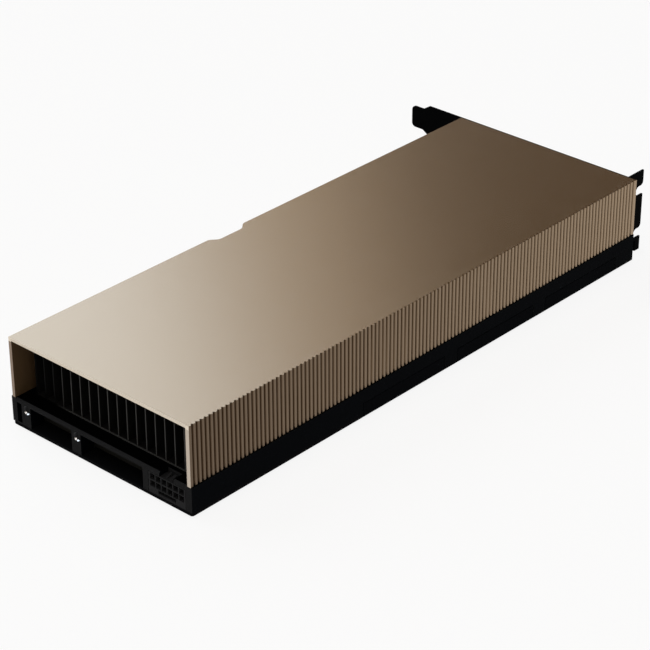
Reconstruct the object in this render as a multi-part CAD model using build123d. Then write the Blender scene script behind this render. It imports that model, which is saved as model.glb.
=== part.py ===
"""Passive accelerator card, full height, full length and two slots wide, lying on its backplate.

Millimetres. X runs from the power end to the bracket, Y from the ribbed side (the card's top edge
when it is plugged in) to the edge connector, Z from the backplate to the cover's top face.
The origin is the centre of the backplate's underside, measured over the frame.
"""

from math import atan2, tan

from build123d import *
import os

# Whole card
card_length = 267.7  # power end to the inner face of the bracket
body_width = 96.8  # over both rails of the frame
body_height = 38.3  # backplate's underside to the cover's top face
contact_reach = 14.35  # frame's outer face on the board side to the tips of the edge contacts

# Fits
slip = 0.15  # clearance round a piece that drops into an opening
air_gap = 0.3  # clearance between neighbours that don't touch

# Cover, one folded metal shell
cover_roof = 1.3
ribbed_wall = 1.8
plain_wall = 1.5
ribbed_inset = 0.3  # how far the rib crests lie inside the frame's outer face
plain_inset = 0.6
rib_pitch = 2.178
first_groove = 1.9  # end of the cover to the first groove's centre
groove_mouth = 1.25
groove_floor = 0.5
groove_depth = 0.65
notch_from_bracket = 151.0  # inner face of the bracket to the notch's centre
notch_floor = 13.2
notch_ramp = 3.4
notch_depth = 2.9
notch_round = 3.0
boss_width = 7.0
boss_depth = 3.6
boss_height = 7.0
hook_count = 4
hook_pitch = 60.0
hook_length = 12.0
hook_depth = 2.4
hook_thickness = 0.9

# Frame, one casting under the cover; its height follows from the power socket's
top_rail = 2.4
board_rail = 2.2
deck_length = 6.4  # power end to the edge of the heat sink
deck_thickness = 1.8
lip_chamfer = 0.6
end_post = 2.7
slot_width = 2.6
slot_sill = 0.6
pillar_width = 5.0
end_window = 23.0
socket_post = 2.8  # between the long window and the power socket
foot_from_power = 26.0
foot_from_bracket = 7.6
rear_wall = 3.0
bracket_screw_inset = 11.7  # frame's outer face to the outer screws
foot_width = 6.8  # feet that the screws pass through
near_foot_reach = 5.2
far_foot_reach = 3.4
near_foot_setback = 2.8  # rail's inner face to the screw's axis
far_foot_setback = 1.7

# Threaded inserts for a server's end bracket
insert_height = 8.9  # backplate's underside to the insert's axis
insert_offset = 0.4  # pillar's middle to the insert's axis, towards the ribbed side
insert_radius = 1.85
insert_bore = 1.25
insert_length = 5.0

# Backplate
backplate_thickness = 1.6
backplate_corner = 1.2
backplate_round = 0.4
board_gap = 1.0  # backplate to circuit board, filled by the bosses
backplate_boss = 5.4
backplate_overhang = 4.6  # past the frame, towards the edge connector

# Circuit board
board_thickness = 1.57
board_clearance = 0.3
strip_start = 12.0  # power end to where the board steps out past the frame
tongue_height = 8.25
tongue_bevel = 0.4
key_from_bracket = 57.15
key_width = 1.9
key_depth = 6.9
short_tongue = 11.65
long_tongue = 71.65
contact_pitch = 1.0
contact_width = 0.7
contact_length = 4.6
contact_inset = 1.4
contact_thickness = 0.05
contact_from_key = 1.5
short_contact_count = 11
long_contact_count = 71
hook_gap = 3.2
hook_shank = 4.0
hook_drop = 5.4
hook_barb = 1.6
hook_barb_height = 2.2

# Bridge connectors on the top edge and their covers
bridge_count = 3
bridge_width = 49.0
bridge_pitch = 56.8
bridge_from_bracket = 12.5  # last cover to the inner face of the bracket
bridge_bottom = 0.1  # above the backplate's underside
bridge_height = 6.13
bridge_depth = 4.4
bridge_tab_inset = 1.2
bridge_contact_pitch = 5.0
bridge_contact_width = 3.6
bridge_contact_length = 2.2

# Processor package and what lies on it
package_x = 8.0
package_length = 66.0
package_width = 52.0
substrate_thickness = 1.7
die_length = 30.0
die_width = 27.0
die_thickness = 0.8
memory_length = 12.0
memory_width = 11.0
memory_gap = 1.0
stiffener_width = 4.0
stiffener_thickness = 0.6
paste_thickness = 0.15
copper_margin = 2.0

# Heat sink
base_rise = 0.5  # base's top above the frame's deck
base_thickness = 2.3
base_margin = 0.4
fin_pitch = 5.0
fin_thickness = 0.5
first_fin = 2.6  # cover's ribbed wall to the first fin's middle
fin_top_gap = 0.3
tail_gap = 7.0  # fins to bracket
standoff_radius = 3.5
heat_screw_margin = 5.0

# Parts on the board
choke_length = 10.0
choke_width = 7.0
choke_pitch = 9.0
choke_count = 8
choke_chamfer = 0.6
choke_offset = 47.0  # package's middle to each column of chokes
pad_thickness = 0.25
stage_size = 5.0
stage_thickness = 0.8
stage_gap = 1.0
capacitor_radius = 3.1
capacitor_height = 5.4
capacitor_pitch = 17.0
capacitor_count = 3
capacitor_offset = 62.5
chip_size = 9.0
chip_thickness = 1.0
chip_from_bracket = 36.0

# Power socket
socket_from_top_edge = 12.8  # frame's outer face to the socket's middle
socket_width = 19.1
socket_length = 14.0
socket_height = 8.8
socket_headroom = 0.2  # socket to the frame's deck
cell_pitch = 3.0
cell_size = 2.45
cell_depth = 9.5
cell_column_count = 6
lower_row = 4.1  # socket's underside to the lower row of cells
sense_width = 9.2
sense_height = 1.5
sense_middle = 1.65  # socket's underside to the sense contacts
sense_pitch = 2.0
sense_count = 4
sill_chamfer = 0.35
latch_width = 3.6
latch_slot = 1.2
latch_height = 1.1
latch_length = 3.0
latch_setback = 0.8
latch_notch_width = 7.4
latch_notch_depth = 4.6
power_pin = 0.9
sense_pin = 0.5
lower_pin_reach = 3.6
upper_pin_reach = 6.0
sense_foot = 1.2
sense_room = 1.0  # gap in the board behind the housing where the sense pins rise

# Bracket, one bent sheet
sheet = 0.86
bracket_width = 38.74
bracket_drop = 0.9  # below the backplate's underside
bracket_height = 120.02  # tab to the ends of the tongues
tab_from_top_edge = 5.3
tab_length = 11.43  # past the bracket's outer face
bend_radius = 0.8
slot_pitch = 20.32
notch_width = 4.42
notch_setback = 8.5  # bracket's outer face to the middle of a screw notch
notch_from_edge = 8.6  # bracket's lower edge to the first screw notch
tab_round = 1.8
ear_relief_length = 8.1
ear_relief_height = 5.0
tab_top_inset = 0.7  # bracket's upper edge to the tab's
tongue_width = 10.2
tongue_length = 10.0
tongue_from_edge = 6.0  # bracket's lower edge to the first tongue
tongue_round = 2.0
shoulder_run = 3.6
shoulder_rise = 2.3
vent_width = 2.9
vent_pitch = 4.6
vent_count = 18
vent_bevel = 0.8
vent_margin = 2.2
vent_from_top = 3.0  # bracket's upper edge to the upper vents

# Screws
head_radius = 2.4
head_height = 1.5
countersink_radius = 2.3
shaft_radius = 1.0
shaft_clearance = 0.2
recess_radius = 1.2
recess_depth = 0.8
bracket_screw_length = 2.8
cover_screw_margin = 1.5
cover_screw_before_notch = 14.0  # towards the power end
cover_screw_past_notch = 65.3
heat_screw_length = 8.4

# Places worked out from the sizes above
power_end = -card_length / 2
bracket_end = card_length / 2
top_edge = -body_width / 2
board_side = body_width / 2
board_bottom = backplate_thickness + board_gap
board_top = board_bottom + board_thickness
socket_top = backplate_thickness + socket_height
deck_bottom = socket_top + socket_headroom
frame_height = deck_bottom + deck_thickness
rib_crests = top_edge + ribbed_inset
plain_face = board_side - plain_inset
cover_near = rib_crests + ribbed_wall
cover_far = plain_face - plain_wall
ceiling = body_height - cover_roof
rail_near = top_edge + top_rail
rail_far = board_side - board_rail
contact_tips = board_side + contact_reach
shoulder = contact_tips - tongue_height
board_start = power_end + deck_length + board_clearance
board_end = bracket_end - board_clearance
board_near = rail_near + board_clearance
board_far = shoulder
bridge_tab_edge = top_edge + bridge_tab_inset
socket_y = top_edge + socket_from_top_edge
notch_x = bracket_end - notch_from_bracket
key_x = bracket_end - key_from_bracket
tongue_start = key_x - key_width / 2 - long_tongue
tongue_end = key_x + key_width / 2 + short_tongue
base_start = power_end + deck_length + air_gap
base_end = bracket_end - tail_gap
base_top = frame_height + base_rise
base_bottom = base_top - base_thickness
base_near = cover_near + base_margin
base_far = cover_far - boss_depth - base_margin
substrate_top = board_top + substrate_thickness
die_top = substrate_top + die_thickness
paste_top = die_top + paste_thickness
foot_top = base_bottom - air_gap
foot_screw_top = foot_top - cover_screw_margin
cover_screw_top = frame_height + boss_height - cover_screw_margin
near_foot_y = rail_near + near_foot_setback
far_foot_y = rail_far - far_foot_setback
first_foot_x = power_end + foot_from_power
last_foot_x = bracket_end - foot_from_bracket
bracket_screw_z = (board_top + frame_height) / 2


def block(x0, x1, y0, y1, z0, z1):
    """A box between two corners."""
    corner = (Align.MIN, Align.MIN, Align.MIN)
    return Pos(x0, y0, z0) * Box(x1 - x0, y1 - y0, z1 - z0, align=corner)


def centred_block(x, y, z0, length, width, height):
    """A box that stands at z0 with its middle over x, y."""
    return block(x - length / 2, x + length / 2, y - width / 2, y + width / 2, z0, z0 + height)


def post(x, y, z0, z1, radius):
    """An upright cylinder from z0 to z1."""
    base = (Align.CENTER, Align.CENTER, Align.MIN)
    return Pos(x, y, z0) * Cylinder(radius, z1 - z0, align=base)


def sideways(x0, x1, y, z, radius):
    """A cylinder along X from x0 to x1."""
    base = (Align.CENTER, Align.CENTER, Align.MIN)
    return Pos(x0, y, z) * Rot(0, 90, 0) * Cylinder(radius, x1 - x0, align=base)


def upright(face, z0, z1):
    """A flat outline drawn at z = 0, raised to stand from z0 to z1."""
    return Pos(0, 0, z0) * extrude(face, z1 - z0, dir=(0, 0, 1))


def spread(count, pitch):
    """Places of count things at a pitch, about 0."""
    return [(i - (count - 1) / 2) * pitch for i in range(count)]


# Cover
def notch_points(wall):
    """The retention notch's corners, on the outer face (wall 0) or a wall's thickness inside it."""
    widen = wall * tan(atan2(notch_depth, notch_ramp) / 2)
    floor = notch_floor / 2 + widen
    mouth = floor + notch_ramp
    mouth_y = plain_face - wall
    floor_y = mouth_y - notch_depth
    return [
        (notch_x + mouth, mouth_y),
        (notch_x + floor, floor_y),
        (notch_x - floor, floor_y),
        (notch_x - mouth, mouth_y),
    ]


def rounded_notch(outline, wall):
    """The outline with the notch's four corners rounded."""
    corners = [Vector(x, y, 0) for x, y in notch_points(wall)]
    picked = [v for v in outline.vertices() if min((Vector(*v) - c).length for c in corners) < 1e-6]
    return fillet(picked, notch_round)


def rib_points():
    """The ribbed edge from the power end to the bracket: a flat crest between each pair of grooves."""
    grooves = int((card_length - 2 * first_groove) / rib_pitch) + 1
    floor_y = rib_crests + groove_depth
    points = [(power_end, rib_crests)]
    for i in range(grooves):
        x = power_end + first_groove + i * rib_pitch
        points.append((x - groove_mouth / 2, rib_crests))
        points.append((x - groove_floor / 2, floor_y))
        points.append((x + groove_floor / 2, floor_y))
        points.append((x + groove_mouth / 2, rib_crests))
    return points + [(bracket_end, rib_crests)]


def cover_boss(x):
    """A pad on the plain wall's inner face with a pilot hole for a cover screw."""
    half = boss_width / 2
    far = cover_far + plain_wall / 2
    pad = block(x - half, x + half, cover_far - boss_depth, far, frame_height, frame_height + boss_height)
    return pad - post(x, far_foot_y, frame_height - 1, cover_screw_top, shaft_radius)


def cover_hook(x):
    """A tongue under the ribbed wall that drops into the frame's rail."""
    half = hook_length / 2
    near = cover_near - hook_thickness
    return block(x - half, x + half, near, cover_near, frame_height - hook_depth, frame_height)


def hook_slot(x):
    """The notch in the frame's rail that takes a tongue, open towards the heat sink."""
    half = hook_length / 2 + slip
    near = cover_near - hook_thickness - slip
    low = frame_height - hook_depth - slip
    return block(x - half, x + half, near, rail_near + slip, low, frame_height + 1)


def cover():
    plain_edge = [(bracket_end, plain_face), *notch_points(0), (power_end, plain_face)]
    outer = make_face(Polyline(*rib_points(), *plain_edge, close=True))
    near_edge = [(power_end - 1, cover_near), (bracket_end + 1, cover_near)]
    far_edge = [(bracket_end + 1, cover_far), *notch_points(plain_wall), (power_end - 1, cover_far)]
    inner = make_face(Polyline(*near_edge, *far_edge, close=True))
    shell = upright(rounded_notch(outer, 0), frame_height, body_height)
    shell -= upright(rounded_notch(inner, plain_wall), frame_height - 1, ceiling)
    for x in cover_screw_places():
        shell += cover_boss(x)
    for x in spread(hook_count, hook_pitch):
        shell += cover_hook(x)
    return shell


# Frame
def window_spans():
    """Y spans of the power end's openings: slot, end window, long window, power socket."""
    slot_far = board_side - end_post
    slot_near = slot_far - slot_width
    first_far = slot_near - pillar_width
    first_near = first_far - end_window
    socket_half = socket_width / 2 + slip
    long_far = first_near - pillar_width
    long_near = socket_y + socket_half + socket_post
    return {
        "slot": (slot_near, slot_far),
        "end": (first_near, first_far),
        "long": (long_near, long_far),
        "socket": (socket_y - socket_half, socket_y + socket_half),
    }


def insert_places():
    """Y of each threaded insert, near the middle of its pillar."""
    spans = window_spans()
    first = (spans["slot"][0] + spans["end"][1]) / 2
    second = (spans["end"][0] + spans["long"][1]) / 2
    return [first - insert_offset, second - insert_offset]


def power_wall():
    """The power end's wall with its deck, cut by the windows, the socket and the latch notch."""
    inner = power_end + deck_length
    wall = block(power_end, inner, top_edge, board_side, backplate_thickness, frame_height)
    lip = wall.edges().filter_by(Axis.Y).group_by(Axis.Z)[-1].sort_by(Axis.X)[0]
    wall = chamfer(lip, lip_chamfer)
    for name, (near, far) in window_spans().items():
        sill = backplate_thickness + slot_sill if name == "slot" else backplate_thickness - 1
        wall -= block(power_end - 1, inner + 1, near, far, sill, deck_bottom)
    near = socket_y - latch_notch_width / 2
    far = socket_y + latch_notch_width / 2
    wall -= block(power_end - 1, power_end + latch_notch_depth, near, far, deck_bottom - 1, frame_height + 1)
    for y in insert_places():
        wall -= sideways(power_end - 1, power_end + insert_length, y, insert_height, insert_radius)
    return wall


def bracket_screw_places():
    """Y of the three screws that hold the bracket to the frame's rear wall."""
    near = top_edge + bracket_screw_inset
    far = board_side - bracket_screw_inset
    return [near, (near + far) / 2, far]


def bracket_wall():
    """The wall that the bracket is screwed to, with blind holes for its screws."""
    wall = block(bracket_end - rear_wall, bracket_end, top_edge, board_side, board_top, frame_height)
    bottom = bracket_end - bracket_screw_length
    for y in bracket_screw_places():
        wall -= sideways(bottom, bracket_end + 1, y, bracket_screw_z, shaft_radius)
    return wall


def near_foot(x):
    """A foot inside the ribbed side's rail with a blind hole for a screw from below."""
    half = foot_width / 2
    body = block(x - half, x + half, rail_near, rail_near + near_foot_reach, board_top, foot_top)
    return body - post(x, near_foot_y, board_top - 1, foot_screw_top, shaft_radius)


def far_foot(x, top, hole_top, hole_radius):
    """A foot inside the board side's rail."""
    half = foot_width / 2
    body = block(x - half, x + half, rail_far - far_foot_reach, rail_far, board_top, top)
    return body - post(x, far_foot_y, board_top - 1, hole_top, hole_radius)


def bridge_places():
    """X of each bridge connector's middle."""
    last = bracket_end - bridge_from_bracket - bridge_width / 2
    return [last - i * bridge_pitch for i in reversed(range(bridge_count))]


def near_foot_places():
    """X of the ribbed side's feet: one at each end and one between the first two bridge covers."""
    bridges = bridge_places()
    return [first_foot_x, (bridges[0] + bridges[1]) / 2, last_foot_x]


def far_foot_places():
    """X of the board side's feet, one at each end."""
    return [first_foot_x, last_foot_x]


def cover_screw_places():
    """X of the cover's screws, one on each side of the retention notch."""
    return [notch_x - cover_screw_before_notch, notch_x + cover_screw_past_notch]


def bridge_window(x):
    """The opening in the ribbed side's rail for a bridge cover."""
    half = bridge_width / 2 + slip
    high = bridge_bottom + bridge_height + slip
    return block(x - half, x + half, top_edge - 1, rail_near + 1, backplate_thickness - 1, high)


def lower_frame():
    near = block(power_end, bracket_end, top_edge, rail_near, backplate_thickness, frame_height)
    far = block(power_end, bracket_end, rail_far, board_side, board_top, frame_height)
    frame = near + far + power_wall() + bracket_wall()
    for x in bridge_places():
        frame -= bridge_window(x)
    for x in near_foot_places():
        frame += near_foot(x)
    for x in far_foot_places():
        frame += far_foot(x, foot_top, foot_screw_top, shaft_radius)
    for x in cover_screw_places():
        frame += far_foot(x, frame_height, frame_height + 1, shaft_radius + shaft_clearance)
    for x in spread(hook_count, hook_pitch):
        frame -= hook_slot(x)
    return frame


def extender_inserts():
    """Two threaded bushes pressed into the pillars."""
    inserts = []
    back = power_end + insert_length
    for y in insert_places():
        bush = sideways(power_end, back, y, insert_height, insert_radius)
        inserts.append(bush - sideways(power_end - 1, back + 1, y, insert_height, insert_bore))
    return Compound(children=inserts)


# Backplate and circuit board
def short_screw_places():
    """x, y of the screws that hold the backplate and the board to the frame's feet."""
    near = [(x, near_foot_y) for x in near_foot_places()]
    far = [(x, far_foot_y) for x in far_foot_places()]
    return near + far


def long_screw_places():
    """x, y of the screws that pass through to the cover's bosses."""
    return [(x, far_foot_y) for x in cover_screw_places()]


def heat_screw_places():
    """x, y of the four screws round the package."""
    half_x = package_length / 2 + heat_screw_margin
    half_y = package_width / 2 + heat_screw_margin
    return [(package_x + sx * half_x, sy * half_y) for sx in (-1, 1) for sy in (-1, 1)]


def backplate():
    body = block(power_end, bracket_end, top_edge, board_side, 0, backplate_thickness)
    body = fillet(body.edges().filter_by(Axis.Z).sort_by(Axis.X)[:2], backplate_corner)
    body = fillet(body.edges().group_by(Axis.Z)[0].sort_by(Axis.X)[:-1], backplate_round)
    near = board_side - 2 * backplate_corner
    far = board_side + backplate_overhang
    body += block(power_end + strip_start, bracket_end, near, far, 0, backplate_thickness)
    half = bridge_width / 2 + slip
    for x in bridge_places():
        near = top_edge + bridge_depth + slip
        body -= block(x - half, x + half, top_edge - 1, near, -1, backplate_thickness + 1)
    holes = short_screw_places() + long_screw_places() + heat_screw_places()
    for x, y in holes:
        body += centred_block(x, y, backplate_thickness, backplate_boss, backplate_boss, board_gap)
    for x, y in holes:
        body -= post(x, y, -1, board_bottom + 1, shaft_radius + shaft_clearance)
        body -= countersink(x, y, shaft_clearance)
    return body


def countersink(x, y, clearance):
    """A screw's conical head, flush with the backplate's underside."""
    depth = countersink_radius - shaft_radius
    wide = countersink_radius + clearance
    narrow = shaft_radius + clearance
    return Pos(x, y, depth / 2) * Cone(wide, narrow, depth)


def board_outline():
    """The board's corners, from the power end along the top edge and back along the edge connector."""
    points = [(board_start, board_near)]
    for x in bridge_places():
        half = bridge_width / 2 - bridge_tab_inset
        points.append((x - half, board_near))
        points.append((x - half, bridge_tab_edge))
        points.append((x + half, bridge_tab_edge))
        points.append((x + half, board_near))
    points += [(board_end, board_near), (board_end, board_far)]
    key_top = contact_tips - key_depth
    points += [
        (tongue_end, board_far),
        (tongue_end, contact_tips),
        (key_x + key_width / 2, contact_tips),
        (key_x + key_width / 2, key_top),
        (key_x - key_width / 2, key_top),
        (key_x - key_width / 2, contact_tips),
        (tongue_start, contact_tips),
        (tongue_start, board_far),
    ]
    barb_x = tongue_start - hook_gap
    shank_x = barb_x - hook_barb
    back_x = shank_x - hook_shank
    hook_tip = board_far + hook_drop
    points += [
        (shank_x, board_far),
        (shank_x, hook_tip - hook_barb_height),
        (barb_x, hook_tip - hook_barb_height),
        (barb_x - hook_barb / 2, hook_tip),
        (back_x, hook_tip),
        (back_x, board_far),
    ]
    step_x = power_end + strip_start
    body_far = board_side - board_clearance
    points += [(step_x, board_far), (step_x, body_far), (board_start, body_far)]
    return points


def circuit_board():
    board = upright(make_face(Polyline(*board_outline(), close=True)), board_bottom, board_top)
    tips = [e for e in board.edges().filter_by(Axis.X) if abs(e.center().Y - contact_tips) < 1e-6]
    board = chamfer(tips, tongue_bevel)
    half = socket_width / 2 + slip
    back = power_end + socket_length
    board -= block(board_start - 1, back + slip, socket_y - half, socket_y + half, 0, board_top + 1)
    half = sense_width / 2
    board -= block(board_start - 1, back + sense_room, socket_y - half, socket_y + half, 0, board_top + 1)
    for x, y in short_screw_places() + long_screw_places() + heat_screw_places():
        board -= post(x, y, board_bottom - 1, board_top + 1, shaft_radius + shaft_clearance)
    return board


def contact_pair(x, y, width, length):
    """One plated contact on each face of the board."""
    return [
        centred_block(x, y, board_top, width, length, contact_thickness),
        centred_block(x, y, board_bottom - contact_thickness, width, length, contact_thickness),
    ]


def edge_contacts():
    y = contact_tips - contact_inset - contact_length / 2
    contacts = []
    for side, count in ((1, short_contact_count), (-1, long_contact_count)):
        for i in range(count):
            x = key_x + side * (contact_from_key + i * contact_pitch)
            contacts += contact_pair(x, y, contact_width, contact_length)
    return Compound(children=contacts)


def bridge_contacts():
    count = int((bridge_width - 4 * bridge_tab_inset) / bridge_contact_pitch)
    y = bridge_tab_edge + bridge_contact_width / 2 + bridge_contact_length / 2
    contacts = []
    for middle in bridge_places():
        for offset in spread(count, bridge_contact_pitch):
            contacts += contact_pair(middle + offset, y, bridge_contact_width, bridge_contact_length)
    return Compound(children=contacts)


def bridge_covers():
    """Plastic caps pushed over the board's bridge tabs, flush with the side band."""
    caps = []
    for x in bridge_places():
        half = bridge_width / 2
        top = bridge_bottom + bridge_height
        cap = block(x - half, x + half, top_edge, top_edge + bridge_depth, bridge_bottom, top)
        rim = cap.edges().group_by(Axis.Y)[0]
        cap = chamfer(rim, slip)
        low = board_bottom - contact_thickness - slip
        high = board_top + contact_thickness + slip
        back = top_edge + bridge_depth + 1
        slot_half = half - bridge_tab_inset + slip
        cap -= block(x - slot_half, x + slot_half, bridge_tab_edge - slip, back, low, high)
        cap -= block(x - half - 1, x + half + 1, board_near - slip, back, low, high)
        caps.append(cap)
    return Compound(children=caps)


# Processor package
def memory_places():
    """x, y of the six memory stacks, three on each side of the die."""
    offset = die_length / 2 + memory_gap + memory_length / 2
    rows = spread(3, memory_width + memory_gap)
    return [(package_x + side * offset, y) for side in (-1, 1) for y in rows]


def processor_substrate():
    return centred_block(package_x, 0, board_top, package_length, package_width, substrate_thickness)


def processor_die():
    return centred_block(package_x, 0, substrate_top, die_length, die_width, die_thickness)


def memory_stacks():
    stacks = []
    for x, y in memory_places():
        stacks.append(centred_block(x, y, substrate_top, memory_length, memory_width, die_thickness))
    return Compound(children=stacks)


def package_stiffener():
    inner_length = package_length - 2 * stiffener_width
    inner_width = package_width - 2 * stiffener_width
    ring = centred_block(package_x, 0, substrate_top, package_length, package_width, stiffener_thickness)
    hole = centred_block(package_x, 0, substrate_top - 1, inner_length, inner_width, stiffener_thickness + 2)
    return ring - hole


def thermal_paste():
    pads = [centred_block(package_x, 0, die_top, die_length, die_width, paste_thickness)]
    for x, y in memory_places():
        pads.append(centred_block(x, y, die_top, memory_length, memory_width, paste_thickness))
    return Compound(children=pads)


def copper_block():
    height = base_bottom - paste_top
    length = package_length + 2 * copper_margin
    width = package_width + 2 * copper_margin
    return centred_block(package_x, 0, paste_top, length, width, height)


# Heat sink
def heat_sink_base():
    base = block(base_start, base_end, base_near, base_far, base_bottom, base_top)
    for x, y in heat_screw_places():
        base += post(x, y, board_top, base_bottom + base_thickness / 2, standoff_radius)
    for x, y in heat_screw_places():
        base -= post(x, y, board_top - 1, board_bottom + heat_screw_length, shaft_radius)
    return base


def heat_sink_fins():
    fins = []
    y = cover_near + first_fin
    while y + fin_thickness < base_far:
        half = fin_thickness / 2
        fins.append(block(base_start, base_end, y - half, y + half, base_top, ceiling - fin_top_gap))
        y += fin_pitch
    return Compound(children=fins)


# Parts on the board
def choke_places():
    """x, y of the chokes, in one column on each side of the package."""
    columns = (package_x - choke_offset, package_x + choke_offset)
    return [(x, y) for x in columns for y in spread(choke_count, choke_pitch)]


def chokes():
    height = base_bottom - pad_thickness - board_top
    pieces = []
    for x, y in choke_places():
        choke = centred_block(x, y, board_top, choke_length, choke_width, height)
        pieces.append(chamfer(choke.edges().filter_by(Axis.Z), choke_chamfer))
    return Compound(children=pieces)


def choke_pads():
    """One soft pad between each column of chokes and the heat sink base."""
    length = (choke_count - 1) * choke_pitch + choke_width
    low = base_bottom - pad_thickness
    pads = []
    for x in (package_x - choke_offset, package_x + choke_offset):
        pads.append(centred_block(x, 0, low, choke_length, length, pad_thickness))
    return Compound(children=pads)


def power_stages():
    reach = choke_length / 2 + stage_gap + stage_size / 2
    pieces = []
    for x, y in choke_places():
        side = 1 if x > package_x else -1
        pieces.append(centred_block(x + side * reach, y, board_top, stage_size, stage_size, stage_thickness))
    return Compound(children=pieces)


def capacitors():
    pieces = []
    for side in (-1, 1):
        for y in spread(capacitor_count, capacitor_pitch):
            x = package_x + side * capacitor_offset
            pieces.append(post(x, y, board_top, board_top + capacitor_height, capacitor_radius))
    return Compound(children=pieces)


def control_chips():
    """Management and clock chips between the package and the bracket."""
    x = bracket_end - chip_from_bracket
    pieces = []
    for y in spread(3, 2 * chip_size):
        pieces.append(centred_block(x, y, board_top, chip_size, chip_size, chip_thickness))
    return Compound(children=pieces)


# Power socket
def cell_places():
    """y, z of the twelve power cells."""
    rows = [backplate_thickness + lower_row, backplate_thickness + lower_row + cell_pitch]
    return [(socket_y + offset, z) for z in rows for offset in spread(cell_column_count, cell_pitch)]


def sense_places():
    """y of the sense contacts."""
    return [socket_y + offset for offset in spread(sense_count, sense_pitch)]


def latch_ramp():
    """Two wedges on the housing's top that the plug's latch snaps over."""
    start = power_end + latch_setback
    end = start + latch_length
    top = socket_top + latch_height
    half = latch_slot / 2
    side = make_face(Polyline((start, 0, socket_top), (end, 0, top), (end, 0, socket_top), close=True))
    wedge = Pos(0, socket_y - latch_width / 2, 0) * extrude(side, latch_width, dir=(0, 1, 0))
    return wedge - block(start - 1, end + 1, socket_y - half, socket_y + half, socket_top, top + 1)


def power_socket():
    back = power_end + socket_length
    half = socket_width / 2
    body = block(power_end, back, socket_y - half, socket_y + half, backplate_thickness, socket_top)
    for y, z in cell_places():
        cell = cell_size / 2
        body -= block(power_end - 1, power_end + cell_depth, y - cell, y + cell, z - cell, z + cell)
        pin = power_pin / 2
        body -= block(power_end, back + 1, y - pin, y + pin, z - pin, z + pin)
    middle = backplate_thickness + sense_middle
    low = middle - sense_height / 2
    near = socket_y - sense_width / 2
    far = socket_y + sense_width / 2
    body -= block(power_end - 1, power_end + cell_depth, near, far, low, middle + sense_height / 2)
    sill = [(power_end, 0, low), (power_end + sill_chamfer, 0, low), (power_end, 0, low - sill_chamfer)]
    body -= Pos(0, near, 0) * extrude(make_face(Polyline(*sill, close=True)), sense_width, dir=(0, 1, 0))
    for y in sense_places():
        pin = sense_pin / 2
        body -= block(power_end, back + 1, y - pin, y + pin, middle - pin, middle + pin)
    return body + latch_ramp()


def power_pins():
    """Square pins through the housing's back, turned down to the board."""
    pins = []
    half = power_pin / 2
    start = power_end + socket_length - cell_depth
    for y, z in cell_places():
        upper = z > backplate_thickness + lower_row + 1
        reach = power_end + socket_length + (upper_pin_reach if upper else lower_pin_reach)
        pin = block(start, reach, y - half, y + half, z - half, z + half)
        pin += block(reach - power_pin, reach, y - half, y + half, board_top, z + half)
        pins.append(pin)
    return Compound(children=pins)


def sense_pins():
    """Small pins that come out behind the housing and step up onto the board."""
    pins = []
    half = sense_pin / 2
    middle = backplate_thickness + sense_middle
    back = power_end + socket_length
    start = power_end + socket_length - cell_depth
    for y in sense_places():
        bend = back + sense_room - slip
        top = board_top + sense_pin
        pin = block(start, bend, y - half, y + half, middle - half, middle + half)
        pin += block(bend - sense_pin, bend, y - half, y + half, middle - half, top)
        pin += block(bend - sense_pin, bend + sense_foot, y - half, y + half, board_top, top)
        pins.append(pin)
    return Compound(children=pins)


# Bracket
def tab_outline():
    """The tab's corners on X and Z, with two screw notches and the ear at its lower end."""
    low = -bracket_drop
    high = low + bracket_width - tab_top_inset
    inner = bracket_end
    outer = bracket_end + sheet + tab_length
    ear_x = bracket_end + sheet + ear_relief_length
    ear_z = low + ear_relief_height
    return [(inner, high), (outer, high), (outer, low), (ear_x, low), (ear_x, ear_z), (inner, ear_z)]


def tab():
    tab_y = top_edge + tab_from_top_edge
    outer = bracket_end + sheet + tab_length
    middle = bracket_end + sheet + notch_setback
    face = make_face(Polyline(*[(x, 0, z) for x, z in tab_outline()], close=True))
    plate = Pos(0, tab_y, 0) * extrude(face, sheet, dir=(0, 1, 0))
    radius = notch_width / 2
    for i in range(2):
        z = -bracket_drop + notch_from_edge + i * slot_pitch
        plate -= block(middle, outer + 1, tab_y - 1, tab_y + sheet + 1, z - radius, z + radius)
        plate -= Pos(middle, tab_y + sheet / 2, z) * Rot(90, 0, 0) * Cylinder(radius, sheet + 2)
    rims = [e for e in plate.edges().filter_by(Axis.Y) if abs(e.center().X - outer) < 1e-6]
    rims = sorted(rims, key=lambda e: e.center().Z)
    rounded = [rims[2], rims[4]]
    return fillet(rounded, tab_round)


def plate_outline():
    """The bracket's corners on Y and Z, with a tongue for each slot and shoulders between them."""
    low = -bracket_drop
    high = low + bracket_width
    tab_y = top_edge + tab_from_top_edge
    end = tab_y + bracket_height
    neck = end - tongue_length + shoulder_run
    edge = neck - shoulder_run
    points = [(tab_y, low), (edge, low)]
    for i in range(2):
        tongue_low = low + tongue_from_edge + i * slot_pitch
        tongue_high = tongue_low + tongue_width
        points += [
            (edge, tongue_low - shoulder_rise),
            (neck, tongue_low),
            (end, tongue_low),
            (end, tongue_high),
            (neck, tongue_high),
            (edge, tongue_high + shoulder_rise),
        ]
    if high - points[-1][1] > 1e-6:
        points.append((edge, high))
    return points + [(tab_y, high)]


def vent_places():
    """Y of the exhaust vents, centred between the tab and the cover's far wall."""
    middle = (top_edge + tab_from_top_edge + sheet + cover_far) / 2
    return [middle + offset for offset in spread(vent_count, vent_pitch)]


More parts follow.
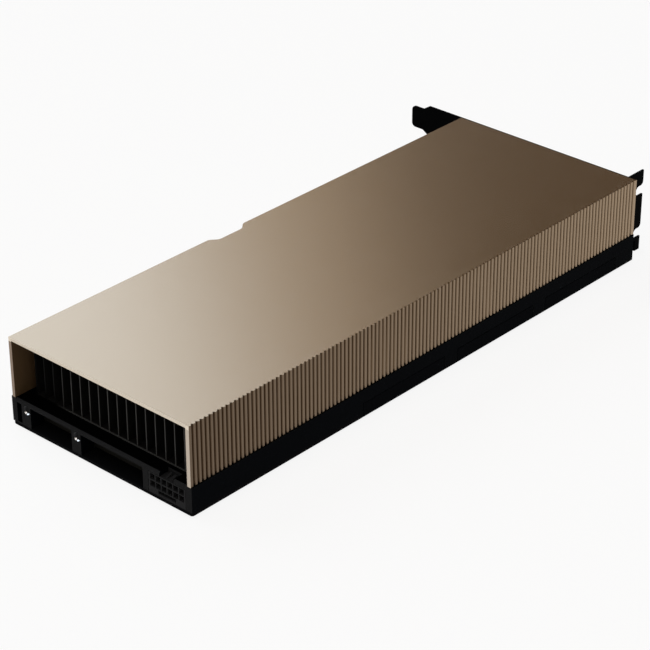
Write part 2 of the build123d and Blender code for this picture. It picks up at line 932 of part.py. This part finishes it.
def vent(y, low, high):
    """An upright slot with bevelled ends through the bracket."""
    side = vent_width / 2
    tip = side - vent_bevel
    outline = [
        (y - tip, low),
        (y + tip, low),
        (y + side, low + vent_bevel),
        (y + side, high - vent_bevel),
        (y + tip, high),
        (y - tip, high),
        (y - side, high - vent_bevel),
        (y - side, low + vent_bevel),
    ]
    face = make_face(Polyline(*[(bracket_end - 1, a, b) for a, b in outline], close=True))
    return extrude(face, sheet + 2, dir=(1, 0, 0))


def io_bracket():
    face = make_face(Polyline(*[(bracket_end, y, z) for y, z in plate_outline()], close=True))
    plate = extrude(face, sheet, dir=(1, 0, 0))
    end = top_edge + tab_from_top_edge + bracket_height
    ends = [e for e in plate.edges().filter_by(Axis.X) if abs(e.center().Y - end) < 1e-6]
    plate = fillet(ends, tongue_round)
    low = base_top + vent_margin
    high = bracket_width - bracket_drop - vent_from_top
    for y in vent_places():
        plate -= vent(y, low, high)
    hole = shaft_radius + shaft_clearance
    for y in bracket_screw_places():
        plate -= sideways(bracket_end - 1, bracket_end + sheet + 1, y, bracket_screw_z, hole)
    bent = plate + tab()
    bend = bent.edges().filter_by(Axis.Z).sort_by(lambda e: e.center().X + e.center().Y)[0]
    return fillet(bend, bend_radius)


# Screws
def bracket_screws():
    screws = []
    outer = bracket_end + sheet
    top = outer + head_height
    z = bracket_screw_z
    for y in bracket_screw_places():
        head = sideways(outer, top, y, z, head_radius)
        recess = extrude(RegularPolygon(recess_radius, 6), recess_depth + 1)
        head -= Pos(top - recess_depth, y, z) * Rot(0, 90, 0) * recess
        screws.append(head + sideways(bracket_end - bracket_screw_length, outer, y, z, shaft_radius))
    return Compound(children=screws)


def flat_screw(x, y, top):
    """A countersunk screw driven up from the backplate's underside."""
    screw = countersink(x, y, 0) + post(x, y, 0, top, shaft_radius)
    return screw - Pos(x, y, -1) * extrude(RegularPolygon(recess_radius, 6), recess_depth + 1)


def backplate_screws():
    return Compound(children=[flat_screw(x, y, foot_screw_top) for x, y in short_screw_places()])


def cover_screws():
    return Compound(children=[flat_screw(x, y, cover_screw_top) for x, y in long_screw_places()])


def heat_sink_screws():
    top = board_bottom + heat_screw_length
    return Compound(children=[flat_screw(x, y, top) for x, y in heat_screw_places()])


nodes = {
    "cover": cover,
    "lower_frame": lower_frame,
    "extender_inserts": extender_inserts,
    "backplate": backplate,
    "circuit_board": circuit_board,
    "edge_contacts": edge_contacts,
    "bridge_contacts": bridge_contacts,
    "bridge_covers": bridge_covers,
    "processor_substrate": processor_substrate,
    "processor_die": processor_die,
    "memory_stacks": memory_stacks,
    "package_stiffener": package_stiffener,
    "thermal_paste": thermal_paste,
    "copper_block": copper_block,
    "heat_sink_base": heat_sink_base,
    "heat_sink_fins": heat_sink_fins,
    "chokes": chokes,
    "choke_pads": choke_pads,
    "power_stages": power_stages,
    "capacitors": capacitors,
    "control_chips": control_chips,
    "power_socket": power_socket,
    "power_pins": power_pins,
    "sense_pins": sense_pins,
    "io_bracket": io_bracket,
    "bracket_screws": bracket_screws,
    "backplate_screws": backplate_screws,
    "cover_screws": cover_screws,
    "heat_sink_screws": heat_sink_screws,
}

os.makedirs("parts", exist_ok=True)
for name, make in nodes.items():
    export_step(make(), f"parts/{name}.step")
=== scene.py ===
from math import cos, pi, radians, sin, tan

import bmesh
import bpy
from mathutils import Matrix, Vector


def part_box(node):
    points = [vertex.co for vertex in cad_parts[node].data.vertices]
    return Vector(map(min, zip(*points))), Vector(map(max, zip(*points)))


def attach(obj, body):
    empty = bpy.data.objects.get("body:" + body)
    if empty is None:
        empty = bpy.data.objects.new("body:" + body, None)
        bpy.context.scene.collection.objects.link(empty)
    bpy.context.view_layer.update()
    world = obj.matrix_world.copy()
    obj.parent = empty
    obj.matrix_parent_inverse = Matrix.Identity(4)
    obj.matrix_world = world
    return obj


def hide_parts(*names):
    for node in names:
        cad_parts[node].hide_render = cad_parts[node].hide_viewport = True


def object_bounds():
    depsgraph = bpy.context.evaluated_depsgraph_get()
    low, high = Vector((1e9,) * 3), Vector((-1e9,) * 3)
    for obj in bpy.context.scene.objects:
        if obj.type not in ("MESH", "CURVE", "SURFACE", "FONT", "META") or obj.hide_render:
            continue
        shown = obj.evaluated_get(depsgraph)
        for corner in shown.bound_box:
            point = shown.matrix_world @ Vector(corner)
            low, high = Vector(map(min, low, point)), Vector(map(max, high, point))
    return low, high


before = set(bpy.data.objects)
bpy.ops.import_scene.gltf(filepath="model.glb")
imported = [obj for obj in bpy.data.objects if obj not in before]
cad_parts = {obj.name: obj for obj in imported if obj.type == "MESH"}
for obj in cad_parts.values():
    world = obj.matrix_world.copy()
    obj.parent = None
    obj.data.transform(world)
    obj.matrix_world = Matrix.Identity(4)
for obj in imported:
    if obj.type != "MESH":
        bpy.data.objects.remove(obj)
cad_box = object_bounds()


# Backplate. A plate of steel 1.6 mm thick under the whole card, stamped, with raised pads that
# carry the circuit board, and powder coated black. Its screws go up through it into the frame.
class Link:
    """A wire in a material. Sums and products of it add the nodes that work them out."""

    def __init__(self, socket):
        self.socket = socket

    def add(self, kind, settings, sockets, output=0):
        """Adds a node of a kind: its settings first, then the values or wires of its sockets."""
        tree = self.socket.id_data
        node = tree.nodes.new("ShaderNode" + kind)
        for name, value in settings.items():
            setattr(node, name, value)
        for name, value in sockets.items():
            if isinstance(value, Link):
                tree.links.new(value.socket, node.inputs[name])
            else:
                node.inputs[name].default_value = value
        return Link(node.outputs[output])

    def math(self, operation, *values):
        return self.add("Math", {"operation": operation}, dict(enumerate(values)))

    def __add__(self, other):
        return self.math("ADD", self, other)

    def __sub__(self, other):
        return self.math("SUBTRACT", self, other)

    def __rsub__(self, other):
        return self.math("SUBTRACT", other, self)

    def __mul__(self, other):
        return self.math("MULTIPLY", self, other)

    def __truediv__(self, other):
        return self.math("DIVIDE", self, other)

    def __abs__(self):
        return self.math("ABSOLUTE", self)

    __radd__ = __add__
    __rmul__ = __mul__

    def above(self, level, blur=0.0):
        """1 where the wire is above a level and 0 below it, with a ramp as wide as blur."""
        if not blur:
            return self.math("GREATER_THAN", self, level)
        limits = {"From Min": level - blur / 2, "From Max": level + blur / 2}
        return self.add("MapRange", {}, {"Value": self} | limits)

    def within(self, low, high):
        """1 where the wire lies between two levels."""
        return self.above(low) * (1 - self.above(high))

    def near_line(self, pitch, width, blur):
        """1 on lines at a pitch across the wire, each as wide as width."""
        apart = abs(self.math("WRAP", self, pitch / 2, -pitch / 2))
        return 1 - apart.above(width / 2, blur)

    def mix(self, low, high):
        """The first colour where the wire is 0 and the second where it is 1."""
        node = self.add("Mix", {"data_type": "RGBA"}, {"Factor": self}, 2)
        tree = self.socket.id_data
        for name, value in (("A", low), ("B", high)):
            entry = next(i for i in node.socket.node.inputs if i.name == name and i.type == "RGBA")
            if isinstance(value, Link):
                tree.links.new(value.socket, entry)
            else:
                entry.default_value = (*value, 1)
        return node

    def axis(self, letter):
        """One coordinate of a vector."""
        return self.add("SeparateXYZ", {}, {0: self}, "XYZ".index(letter))

    def scaled(self, along_x, along_y, along_z):
        """A vector stretched along the axes."""
        stretch = (along_x, along_y, along_z)
        return self.add("VectorMath", {"operation": "MULTIPLY"}, {0: self, 1: stretch})

    def noise(self, size, detail=2.0):
        """Soft random grain from 0 to 1, with its grains about as large as size."""
        return self.add("TexNoise", {}, {"Vector": self, "Scale": 1 / size, "Detail": detail})

    def bump(self, depth):
        """The normal of a surface raised by this wire times depth."""
        return self.add("Bump", {}, {"Height": self, "Distance": depth, "Strength": 1.0})


def blank(name, **sockets):
    """A material with plain socket values, its place on the card and its facing."""
    material = bpy.data.materials.new(name)
    material.use_nodes = True
    tree = material.node_tree
    shader = tree.nodes["Principled BSDF"]
    for socket, value in sockets.items():
        shader.inputs[socket.replace("_", " ")].default_value = value
    place = Link(tree.nodes.new("ShaderNodeTexCoord").outputs["Object"])
    facing = Link(tree.nodes.new("ShaderNodeNewGeometry").outputs["Normal"])
    return material, shader, place, facing


def feed(shader, **wires):
    """Leads wires into a shader's sockets."""
    for socket, wire in wires.items():
        shader.id_data.links.new(wire.socket, shader.inputs[socket.replace("_", " ")])


def grained(name, dark, light, roughness, grain, depth, **sockets):
    """A finish whose colour drifts between two shades over a fine random grain."""
    drift_size, spread = 0.02, 0.06
    material, shader, place, _ = blank(name, **sockets)
    fine = place.noise(grain)
    broad = place.noise(drift_size, 4)
    colour = (broad * 0.6 + fine * 0.4).mix(dark, light)
    feed(shader, Base_Color=colour, Roughness=broad * spread + (roughness - spread / 2),
         Normal=fine.bump(depth))
    return material


def dress(material, *names):
    """Gives CAD nodes a finish."""
    for name in names:
        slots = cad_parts[name].data.materials
        slots.clear()
        slots.append(material)


dress(grained("powder_coat_black", (0.0028, 0.003, 0.0036), (0.0048, 0.005, 0.0058), 0.55, 0.0004,
              0.00002, Specular_IOR_Level=0.006), "backplate")


# Circuit board. Glass fibre laminate under a near-black solder mask, routed to shape, with the
# tongue and retention hook of its edge connector. Copper traces raise the mask over the tongue.
tongue_root = 0.0495
tongue_start, tongue_end = 0.0040, 0.0885
trace_pitch, trace_width = 0.001, 0.0004
trace_height = 0.00002
laminate_stretch = 6000  # draws the cut edge's grain out along the layers of glass


def board_mask():
    material, shader, place, facing = blank("solder_mask_black", Specular_IOR_Level=0.12)
    tongue = place.axis("Y").above(tongue_root) * place.axis("X").within(tongue_start, tongue_end)
    traces = place.axis("X").near_line(trace_pitch, trace_width, 0.0001) * tongue
    ground = place.noise(0.004, 3).above(0.52, 0.03)
    pads = traces + ground * 0.5 * (1 - tongue)
    face = abs(facing.axis("Z")).above(0.5)
    layers = place.scaled(1, 1, laminate_stretch).noise(1.0)
    edge = layers.mix((0.006, 0.006, 0.005), (0.014, 0.013, 0.010))
    mask = pads.mix((0.0025, 0.003, 0.0032), (0.005, 0.0065, 0.006))
    feed(shader, Base_Color=face.mix(edge, mask),
         Roughness=0.62 - face * 0.2 + place.noise(0.003) * 0.08,
         Normal=(pads * trace_height + place.noise(0.0004) * 0.000004).bump(1.0))
    return material


dress(board_mask(), "circuit_board")


# Coupling capacitors. Small ceramic blocks with tinned ends, soldered in pairs over the signal
# traces of the edge connector, just outside the frame.
def chip_block(mesh, centre, size, round_off):
    """A box with its edges rounded a little."""
    made = bmesh.ops.create_cube(mesh, size=1)["verts"]
    bmesh.ops.scale(mesh, vec=size, verts=made)
    bmesh.ops.translate(mesh, vec=centre, verts=made)
    edges = {edge for vertex in made for edge in vertex.link_edges}
    bmesh.ops.bevel(mesh, geom=list(edges), offset=round_off, segments=2, affect="EDGES")


def shown(name, mesh, materials, slot, *stands_for, places=((0, 0, 0),)):
    """Puts a mesh on the card as one piece, repeated at its places."""
    data = bpy.data.meshes.new(name)
    whole = bmesh.new()
    for place in places:
        part = bpy.data.meshes.new(name + "_one")
        mesh.to_mesh(part)
        part.transform(Matrix.Translation(place))
        whole.from_mesh(part)
        bpy.data.meshes.remove(part)
    bmesh.ops.recalc_face_normals(whole, faces=whole.faces)
    whole.to_mesh(data)
    whole.free()
    for finish in materials:
        data.materials.append(finish)
    piece = bpy.data.objects.new(name, data)
    bpy.context.scene.collection.objects.link(piece)
    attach(piece, "root")
    if stands_for:
        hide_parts(*stands_for)


board_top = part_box("circuit_board")[1].z
tongue_low, tongue_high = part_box("edge_contacts")
block_length, block_width, block_height = 0.001, 0.0005, 0.0005
tin_length = 0.00024
tin_lap = 0.000025  # how far each tinned end reaches over the ceramic
tin_width, tin_height = block_width + 0.00003, block_height + 0.00001
row_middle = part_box("lower_frame")[1].y + 0.0012
lane_pitch = 0.004
pair_offset = 0.0006  # each block of a pair to the middle of its lane
first_lane = tongue_low.x + 0.003
lanes_end = tongue_high.x - 0.015
blocks = bmesh.new()
for lane in range(int((lanes_end - first_lane) / lane_pitch)):
    for side in (-pair_offset, pair_offset):
        x = first_lane + lane * lane_pitch + side
        z = board_top + block_height / 2
        ceramic_length = block_length - 2 * (tin_length - tin_lap)
        chip_block(blocks, (x, row_middle, z), (block_width, ceramic_length, block_height), 0.00003)
        for end in (-1, 1):
            y = row_middle + end * (block_length - tin_length) / 2
            chip_block(blocks, (x, y, board_top + tin_height / 2),
                       (tin_width, tin_length, tin_height), 0.00005)
tin_start = block_length / 2 - tin_length - 0.00001
for face in blocks.faces:
    face.material_index = int(abs(face.calc_center_median().y - row_middle) > tin_start)
shown("coupling_capacitors", blocks, [
    grained("ceramic_tan", (0.2, 0.12, 0.07), (0.27, 0.17, 0.1), 0.5, 0.0002, 0.000004),
    grained("tinned_end", (0.6, 0.6, 0.6), (0.75, 0.75, 0.74), 0.3, 0.0002, 0.000004,
            Metallic=1.0)], "capacitor_aluminium")


# Contacts. Copper fingers on both faces of the tongue and along the top edge, plated with hard
# gold, and the pins of the power socket with the same plating. Plugging in wipes them lengthwise.
def plated_gold():
    material, shader, place, _ = blank("hard_gold", Metallic=1.0)
    wipe = place.scaled(6000, 250, 6000).noise(1.0, 3)
    stain = place.noise(0.006, 3)
    colour = stain.mix((0.85, 0.55, 0.21), (1.0, 0.74, 0.36))
    feed(shader, Base_Color=colour, Roughness=wipe * 0.2 + 0.14, Normal=wipe.bump(0.000006))
    return material


dress(plated_gold(), "edge_contacts", "bridge_contacts", "power_pins", "sense_pins")


# Processor package. A laminate carrier with a bare die and its memory stacks side by side, and a
# nickel-plated stiffener ring round them, with grey paste pressed out between die and heat sink.
dress(grained("carrier_laminate", (0.02, 0.06, 0.035), (0.035, 0.09, 0.05), 0.45, 0.0006, 0.00001),
      "processor_substrate")
dress(grained("polished_silicon", (0.05, 0.055, 0.065), (0.09, 0.095, 0.11), 0.16, 0.0004, 0.000001,
              Metallic=0.6), "processor_die", "memory_stacks")
dress(grained("stiffener_nickel", (0.5, 0.48, 0.44), (0.62, 0.6, 0.56), 0.35, 0.0003, 0.000005,
              Metallic=1.0), "package_stiffener")
dress(grained("thermal_paste_grey", (0.3, 0.3, 0.3), (0.45, 0.45, 0.44), 0.7, 0.0012, 0.00008),
      "thermal_paste")


# Heat sink. A copper block on the die, milled and soldered under an aluminium base, with thin
# upright fins along the air's way. Base and fins are dipped black after soldering.
def milled_copper():
    material, shader, place, _ = blank("milled_copper", Metallic=1.0)
    cuts = place.scaled(1, 3000, 3000).noise(1.0, 1)
    tarnish = place.noise(0.008, 4)
    feed(shader, Base_Color=tarnish.mix((0.72, 0.32, 0.18), (0.9, 0.48, 0.32)),
         Roughness=cuts * 0.2 + 0.22, Normal=cuts.bump(0.00001))
    return material


dress(milled_copper(), "copper_block")

fin_shade_start = 0.026  # past here, towards the board side, the fins' cut edges are painted near black as painted shade under the cover


def fin_black():
    material, shader, place, facing = blank("fin_black", Specular_IOR_Level=0.06)
    grain = place.scaled(300, 3000, 3000).noise(1.0, 3)
    dull = place.noise(0.01, 3)
    # The fins' cut edges are painted lighter than their sides as a painted highlight, and near
    # black towards the board side as painted shade.
    cut = abs(facing.axis("X")).above(0.7)
    lit_edges = (0 - place.axis("Y")).above(-fin_shade_start, 0.01)
    sheet = (grain * 0.5 + dull * 0.5).mix((0.004, 0.004, 0.004), (0.009, 0.0087, 0.0085))
    edge = (lit_edges * (grain * 0.4 + 0.8)).mix((0.001, 0.001, 0.001), (0.055, 0.055, 0.054))
    feed(shader, Base_Color=cut.mix(sheet, edge), Roughness=0.45 + grain * 0.1,
         Normal=grain.bump(0.00001))
    return material


dress(fin_black(), "heat_sink_base", "heat_sink_fins")


# Parts on the board. Moulded power chokes with soft grey pads on them, power stages, polymer
# capacitors in drawn aluminium cans and control chips in black resin, all soldered flat.
dress(grained("pressed_ferrite", (0.03, 0.03, 0.032), (0.06, 0.06, 0.062), 0.6, 0.0003, 0.00003),
      "chokes")
dress(grained("pad_silicone", (0.28, 0.3, 0.34), (0.36, 0.38, 0.42), 0.75, 0.0008, 0.00004),
      "choke_pads")
dress(grained("chip_resin", (0.012, 0.012, 0.013), (0.024, 0.024, 0.025), 0.5, 0.0002, 0.00001),
      "power_stages", "control_chips")
dress(grained("drawn_aluminium", (0.6, 0.6, 0.6), (0.74, 0.74, 0.75), 0.3, 0.0004, 0.000005,
              Metallic=1.0), "capacitors")


# Power socket. A black glass-filled nylon housing with twelve cells for the supply's contacts, a
# row of four sense contacts under them and a ramp on top that the plug's latch hooks over.
def soften(width, name):
    """Breaks the sharp edges of a CAD node by a small round."""
    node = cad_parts[name]
    weld = node.modifiers.new("weld", "WELD")
    weld.merge_threshold = 1e-6
    bevel = node.modifiers.new("edges", "BEVEL")
    bevel.width = width
    bevel.segments = 2
    bevel.limit_method = "ANGLE"
    bevel.angle_limit = radians(40)
    bevel.harden_normals = True


dress(grained("socket_nylon", (0.011, 0.011, 0.012), (0.019, 0.019, 0.02), 0.45, 0.0003, 0.00002,
              Specular_IOR_Level=0.04), "power_socket")
soften(0.00012, "power_socket")


# Lower frame. One casting in black round the board: the power end with its deck, windows and
# pillars, the long side rails, feet for the screws and the wall behind the bracket.
def frame_black():
    material, shader, place, facing = blank("frame_black", Specular_IOR_Level=0.006)
    grain = place.noise(0.00035, 3)
    drift = place.noise(0.03, 3)
    # Only the faces towards the power end keep the cast colour; the other faces, the long sides,
    # are painted darker as painted shade, and the upward faces nearly black as painted shade under
    # the cover.
    power_wall = (0 - facing.axis("X")).above(0.6, 0.2)
    deck = facing.axis("Z").above(0.5)
    side = drift.mix((0.0013, 0.0018, 0.0027), (0.0023, 0.0029, 0.0039))
    cast = drift.mix((0.0125, 0.0128, 0.0138), (0.0195, 0.02, 0.021))
    colour = power_wall.mix(deck.mix(side, (0.0006, 0.0006, 0.0007)), cast)
    feed(shader, Base_Color=colour, Roughness=0.42 + grain * 0.14, Normal=grain.bump(0.00003))
    return material


dress(frame_black(), "lower_frame")
soften(0.00025, "lower_frame")


# Threaded bushes. Two turned steel bushes pressed into the pillars at the power end, blackened,
# with a countersunk mouth and an M3 thread. The lower lip of each mouth is painted bright steel as
# a painted glint.
def lathe(profile, radius_at):
    """A closed turned shape along X: each profile point is a depth and a radius."""
    turns = 48
    mesh = bmesh.new()
    rings = []
    for depth, radius in profile:
        ring = []
        for step in range(turns):
            angle = 2 * pi * step / turns
            reach = radius_at(depth, radius, angle)
            ring.append(mesh.verts.new((depth, reach * cos(angle), reach * sin(angle))))
        rings.append(ring)
    for inner, outer in zip(rings, rings[1:] + rings[:1]):
        for step in range(turns):
            after = (step + 1) % turns
            mesh.faces.new((inner[step], inner[after], outer[after], outer[step]))
    return mesh


insert_low, insert_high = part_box("extender_inserts")
bush_radius = 0.00185
bush_length = insert_high.x - insert_low.x
bush_height = (insert_low.z + insert_high.z) / 2
broken_edge = 0.00005
thread_pitch = 0.0005
thread_minor = 0.00125
thread_depth = 0.00022
mouth_depth = 0.0005
glint_below = -0.0009
rings_per_turn = 8


def thread_wave(depth, radius, angle):
    """Radius of the bore, with the thread cut into it past the countersunk mouth."""
    if radius > thread_minor + 1e-5 or depth < mouth_depth:
        return radius
    turn = (depth / thread_pitch + angle / (2 * pi)) % 1
    return thread_minor + thread_depth * (1 - abs(2 * turn - 1))


bore = [(mouth_depth + i * thread_pitch / rings_per_turn, thread_minor)
        for i in range(int((bush_length - mouth_depth) / thread_pitch * rings_per_turn))]
bush = lathe([(0, bush_radius - broken_edge), *bore, (bush_length, thread_minor),
              (bush_length, bush_radius), (broken_edge, bush_radius)], thread_wave)
# Faces of the mouth below the axis get bright steel as a painted glint.
for face in bush.faces:
    middle = face.calc_center_median()
    face.material_index = int(middle.x < mouth_depth and middle.z < glint_below)
shown("end_bushes", bush, [
    grained("black_steel", (0.01, 0.01, 0.011), (0.022, 0.022, 0.023), 0.4, 0.0003, 0.000008,
            Metallic=0.8),
    grained("painted_glint_steel", (0.8, 0.81, 0.83), (0.92, 0.93, 0.95), 0.22, 0.0002, 0.000002,
            Metallic=1.0)], "insert_steel", "extender_inserts",
      places=[(insert_low.x, insert_low.y + bush_radius, bush_height),
              (insert_low.x, insert_high.y - bush_radius, bush_height)])


# Bridge covers. Three moulded caps of matt black plastic pressed over the connectors along the top
# edge, each between ribs of the frame, so that a seam shows all round it.
def cap_black():
    material, shader, place, _ = blank("bridge_cap_black", Specular_IOR_Level=0.006)
    grain = place.noise(0.0003, 2)
    drift = place.noise(0.02, 3)
    feed(shader, Base_Color=drift.mix((0.0012, 0.0016, 0.0024), (0.002, 0.0025, 0.0034)),
         Roughness=0.5 + grain * 0.1, Normal=grain.bump(0.00002))
    return material


dress(cap_black(), "bridge_covers")
soften(0.0002, "bridge_covers")


# Cover. One shell of aluminium with upright ribs pressed into its top-edge side, open at both
# ends, blasted to a fine satin and anodised bronze. Its cut rims are painted paler as painted
# light, and its ribbed side, grooves, inside and the far end of its top are painted darker as
# painted shade.
cover_low, cover_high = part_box("cover")
rib_crest = cover_low.y
groove_depth = 0.00065
groove_floor = rib_crest + groove_depth + 0.0001
end_plane = cover_high.x - 0.0004
# from here to the far end the top is painted dark as painted shade, a shadow gap at the bracket
dark_band_start = cover_high.x - 0.00055
roof_underside = 0.0366
inner_near, inner_far = -0.0466, 0.0465
cover_length = 0.267


def satin_bronze():
    material, shader, place, facing = blank("satin_bronze")
    grain = place.noise(0.00022, 2)
    cloud = place.noise(0.012, 4)
    tone = cloud * 0.5 + grain * 0.5
    along = place.axis("X").above(0.0, cover_length)
    shell = tone.mix((0.45, 0.366, 0.283), (0.48, 0.392, 0.304))
    # The ribbed side is painted darker than the shell as painted shade, lighter from the power end
    # towards the bracket end as a painted shade gradient, and its grooves darker still as painted
    # shade.
    rib = along.mix(tone.mix((0.13, 0.091, 0.06), (0.145, 0.102, 0.067)),
                    tone.mix((0.325, 0.235, 0.152), (0.35, 0.254, 0.165)))
    groove = along.mix(tone.mix((0.06, 0.032, 0.014), (0.07, 0.038, 0.017)),
                       tone.mix((0.07, 0.04, 0.019), (0.08, 0.047, 0.023)))
    # The inside walls are painted a dark brown as painted shade inside the shell.
    inner_shade = tone.mix((0.15, 0.092, 0.045), (0.17, 0.105, 0.052))
    # The cut rims are painted paler as painted light: the top rim palest as a painted highlight,
    # the side rim pale on the top-edge side and darker on the board side as painted shade.
    side_rim = place.axis("Y").above(0.0, 0.08).mix((0.52, 0.445, 0.365), (0.262, 0.195, 0.145))
    rim = place.axis("Z").above(roof_underside).mix(side_rim, (0.76, 0.67, 0.55))
    level = facing.axis("Z")
    sunk = ((place.axis("Y") - rib_crest) / groove_depth).above(0.5, 1.0)
    ribbed = (groove_floor - place.axis("Y")).above(0.0) * (1 - level.above(0.5))
    cut = abs(facing.axis("X")).above(0.9) * abs(place.axis("X")).above(end_plane)
    inside = place.axis("Y").within(inner_near, inner_far) * (1 - abs(level).above(0.5))
    faces = inside.mix(ribbed.mix(shell, sunk.mix(rib, groove)), inner_shade)
    # A band painted dark along the far end of the top stands for the shadow gap at the bracket:
    # painted shade.
    end_dark_band = place.axis("X").above(dark_band_start) * level.above(0.3)
    upright = 1 - level.above(0.8, 0.3)
    feed(shader, Base_Color=cut.mix(end_dark_band.mix(faces, (0.03, 0.022, 0.016)), rim),
         Roughness=0.19 + grain * 0.05 + cloud * 0.02 + upright * 0.13,
         Metallic=1 - inside * 0.5, Normal=grain.bump(0.000012))
    return material


dress(satin_bronze(), "cover")
soften(0.00015, "cover")


# Bracket. A steel sheet bent to a right angle along its tab, punched with air vents and screw
# notches, and painted a deep even black.
dress(grained("bracket_black", (0.0011, 0.0012, 0.0014), (0.0022, 0.0023, 0.0027), 0.5, 0.0003,
              0.00001, Specular_IOR_Level=0.005), "io_bracket")
soften(0.00015, "io_bracket")


# Screws. Black oxide machine screws with hex sockets: flat heads under the card, low round heads
# through the bracket, and longer ones that hold the cover and the heat sink.
dress(grained("black_oxide", (0.012, 0.012, 0.013), (0.026, 0.026, 0.027), 0.42, 0.0003, 0.00001,
              Metallic=0.6, Specular_IOR_Level=0.15),
      "bracket_screws", "backplate_screws", "cover_screws", "heat_sink_screws")


# Studio. A white floor that the card lies on, swept up to a low wall all round, a tall soft light
# beyond the board side that leans towards the bracket's side, with a dimmer strip along its edge, a
# wide soft ceiling light over the top-edge side, and a dim warm room.
def panel(name, centre, facing, width, height, radiance, tint, lean=0.0):
    """An area light of an even radiance, turned in its own plane by an angle."""
    lamp = bpy.data.lights.new(name, "AREA")
    lamp.shape = "RECTANGLE"
    lamp.size = width
    lamp.size_y = height
    lamp.energy = radiance * pi * width * height
    lamp.color = tint
    light = bpy.data.objects.new(name, lamp)
    light.location = centre
    light.rotation_euler = Vector(facing).to_track_quat("-Z", "Y").to_euler()
    light.rotation_euler.rotate_axis("Z", lean)
    bpy.context.scene.collection.objects.link(light)


side_distance, side_bottom, side_top = 4.0, 0.35, 6.4
side_lean = radians(18)
mirrored_height = 3.1  # the height at which the card's top mirrors the panels' edge


def side_light(name, from_azimuth, to_azimuth, radiance, tint):
    """A tall panel beyond the board side, between two directions measured from the bracket's."""
    ends = [side_distance / tan(radians(angle)) for angle in (from_azimuth, to_azimuth)]
    width, middle = ends[0] - ends[1], (side_bottom + side_top) / 2
    rise = mirrored_height - middle + width / 2 * sin(side_lean)
    edge = width / 2 * cos(side_lean) + rise * tan(side_lean)
    panel(name, (ends[0] - edge, side_distance, middle), (0, -1, 0), width, side_top - side_bottom,
          radiance, tint, side_lean)


side_light("side_softbox", 46.3, 130, 1.48, (0.9, 1.03, 1.14))
side_light("side_softbox_edge", 41.2, 46.3, 0.5, (1.0, 0.87, 0.68))
ceiling_place, ceiling_width = (-2.3, -2.3, 3.6), 6.4
panel("overhead", ceiling_place, (0, 0, -1), ceiling_width, ceiling_width, 1.35, (1.0, 0.99, 0.97))

world = bpy.data.worlds.new("room")
bpy.context.scene.world = world
world.use_nodes = True
room = world.node_tree.nodes["Background"]
room.inputs["Color"].default_value = (1.0, 0.62, 0.27, 1)
room.inputs["Strength"].default_value = 0.115

floor_reach, sweep_radius, wall_top = 9.0, 2.0, 3.0
floor_gap = 0.00005
floor_profile = [(0.001, 0), (floor_reach, 0)]
for turn in range(15, 91, 15):
    floor_profile.append((floor_reach + sweep_radius * sin(radians(turn)),
                          sweep_radius - sweep_radius * cos(radians(turn))))
floor_profile.append((floor_reach + sweep_radius, wall_top))
floor_mesh = bmesh.new()
rings = [[floor_mesh.verts.new((reach * cos(radians(turn)), reach * sin(radians(turn)), height))
          for turn in range(0, 360, 5)] for reach, height in floor_profile]
for inner, outer in zip(rings, rings[1:]):
    for step, corner in enumerate(inner):
        floor_mesh.faces.new((inner[step - 1], outer[step - 1], outer[step], corner))
floor_mesh.faces.new(rings[0])
floor_data = bpy.data.meshes.new("floor")
floor_mesh.to_mesh(floor_data)
floor = bpy.data.objects.new("floor", floor_data)
floor.location.z = cad_box[0].z - floor_gap
bpy.context.scene.collection.objects.link(floor)

background_share = 0.87  # of plain white in what the camera and mirrors see of the floor
floor_white, floor_shader, floor_place, _ = blank("floor_white", Roughness=0.95,
                                                  Specular_IOR_Level=0.0)
feed(floor_shader, Base_Color=floor_place.noise(0.3, 2).mix((0.94, 0.94, 0.94), (0.96, 0.96, 0.96)))
seen = sum(floor_place.add("LightPath", {}, {}, kind) for kind in
           ("Is Camera Ray", "Is Glossy Ray", "Is Transmission Ray"))
white = floor_place.add("Emission", {}, {"Color": (1, 1, 1, 1), "Strength": 1.0})
surface = floor_place.add("MixShader", {}, {0: seen.above(0.5) * background_share,
                                            1: Link(floor_shader.outputs["BSDF"]), 2: white})
floor_tree = floor_white.node_tree
floor_tree.links.new(surface.socket, floor_tree.nodes["Material Output"].inputs["Surface"])
floor_data.materials.append(floor_white)

camera_data = bpy.data.cameras.new("photo_camera")
camera_data.lens = 132.7
camera_data.sensor_width = 36
camera = bpy.data.objects.new("photo_camera", camera_data)
eye = Vector((-0.631575, -0.567789, 0.481283))
look = Vector((0.64424, 0.58830, -0.48874)).normalized()
right = Vector((0.67303, -0.73961, -0.00312)).normalized()
up = right.cross(look)
camera.matrix_world = Matrix.Translation(eye) @ Matrix((right, up, -look)).transposed().to_4x4()
bpy.context.scene.collection.objects.link(camera)
bpy.context.scene.camera = camera
bpy.context.scene.view_settings.view_transform = "Standard"
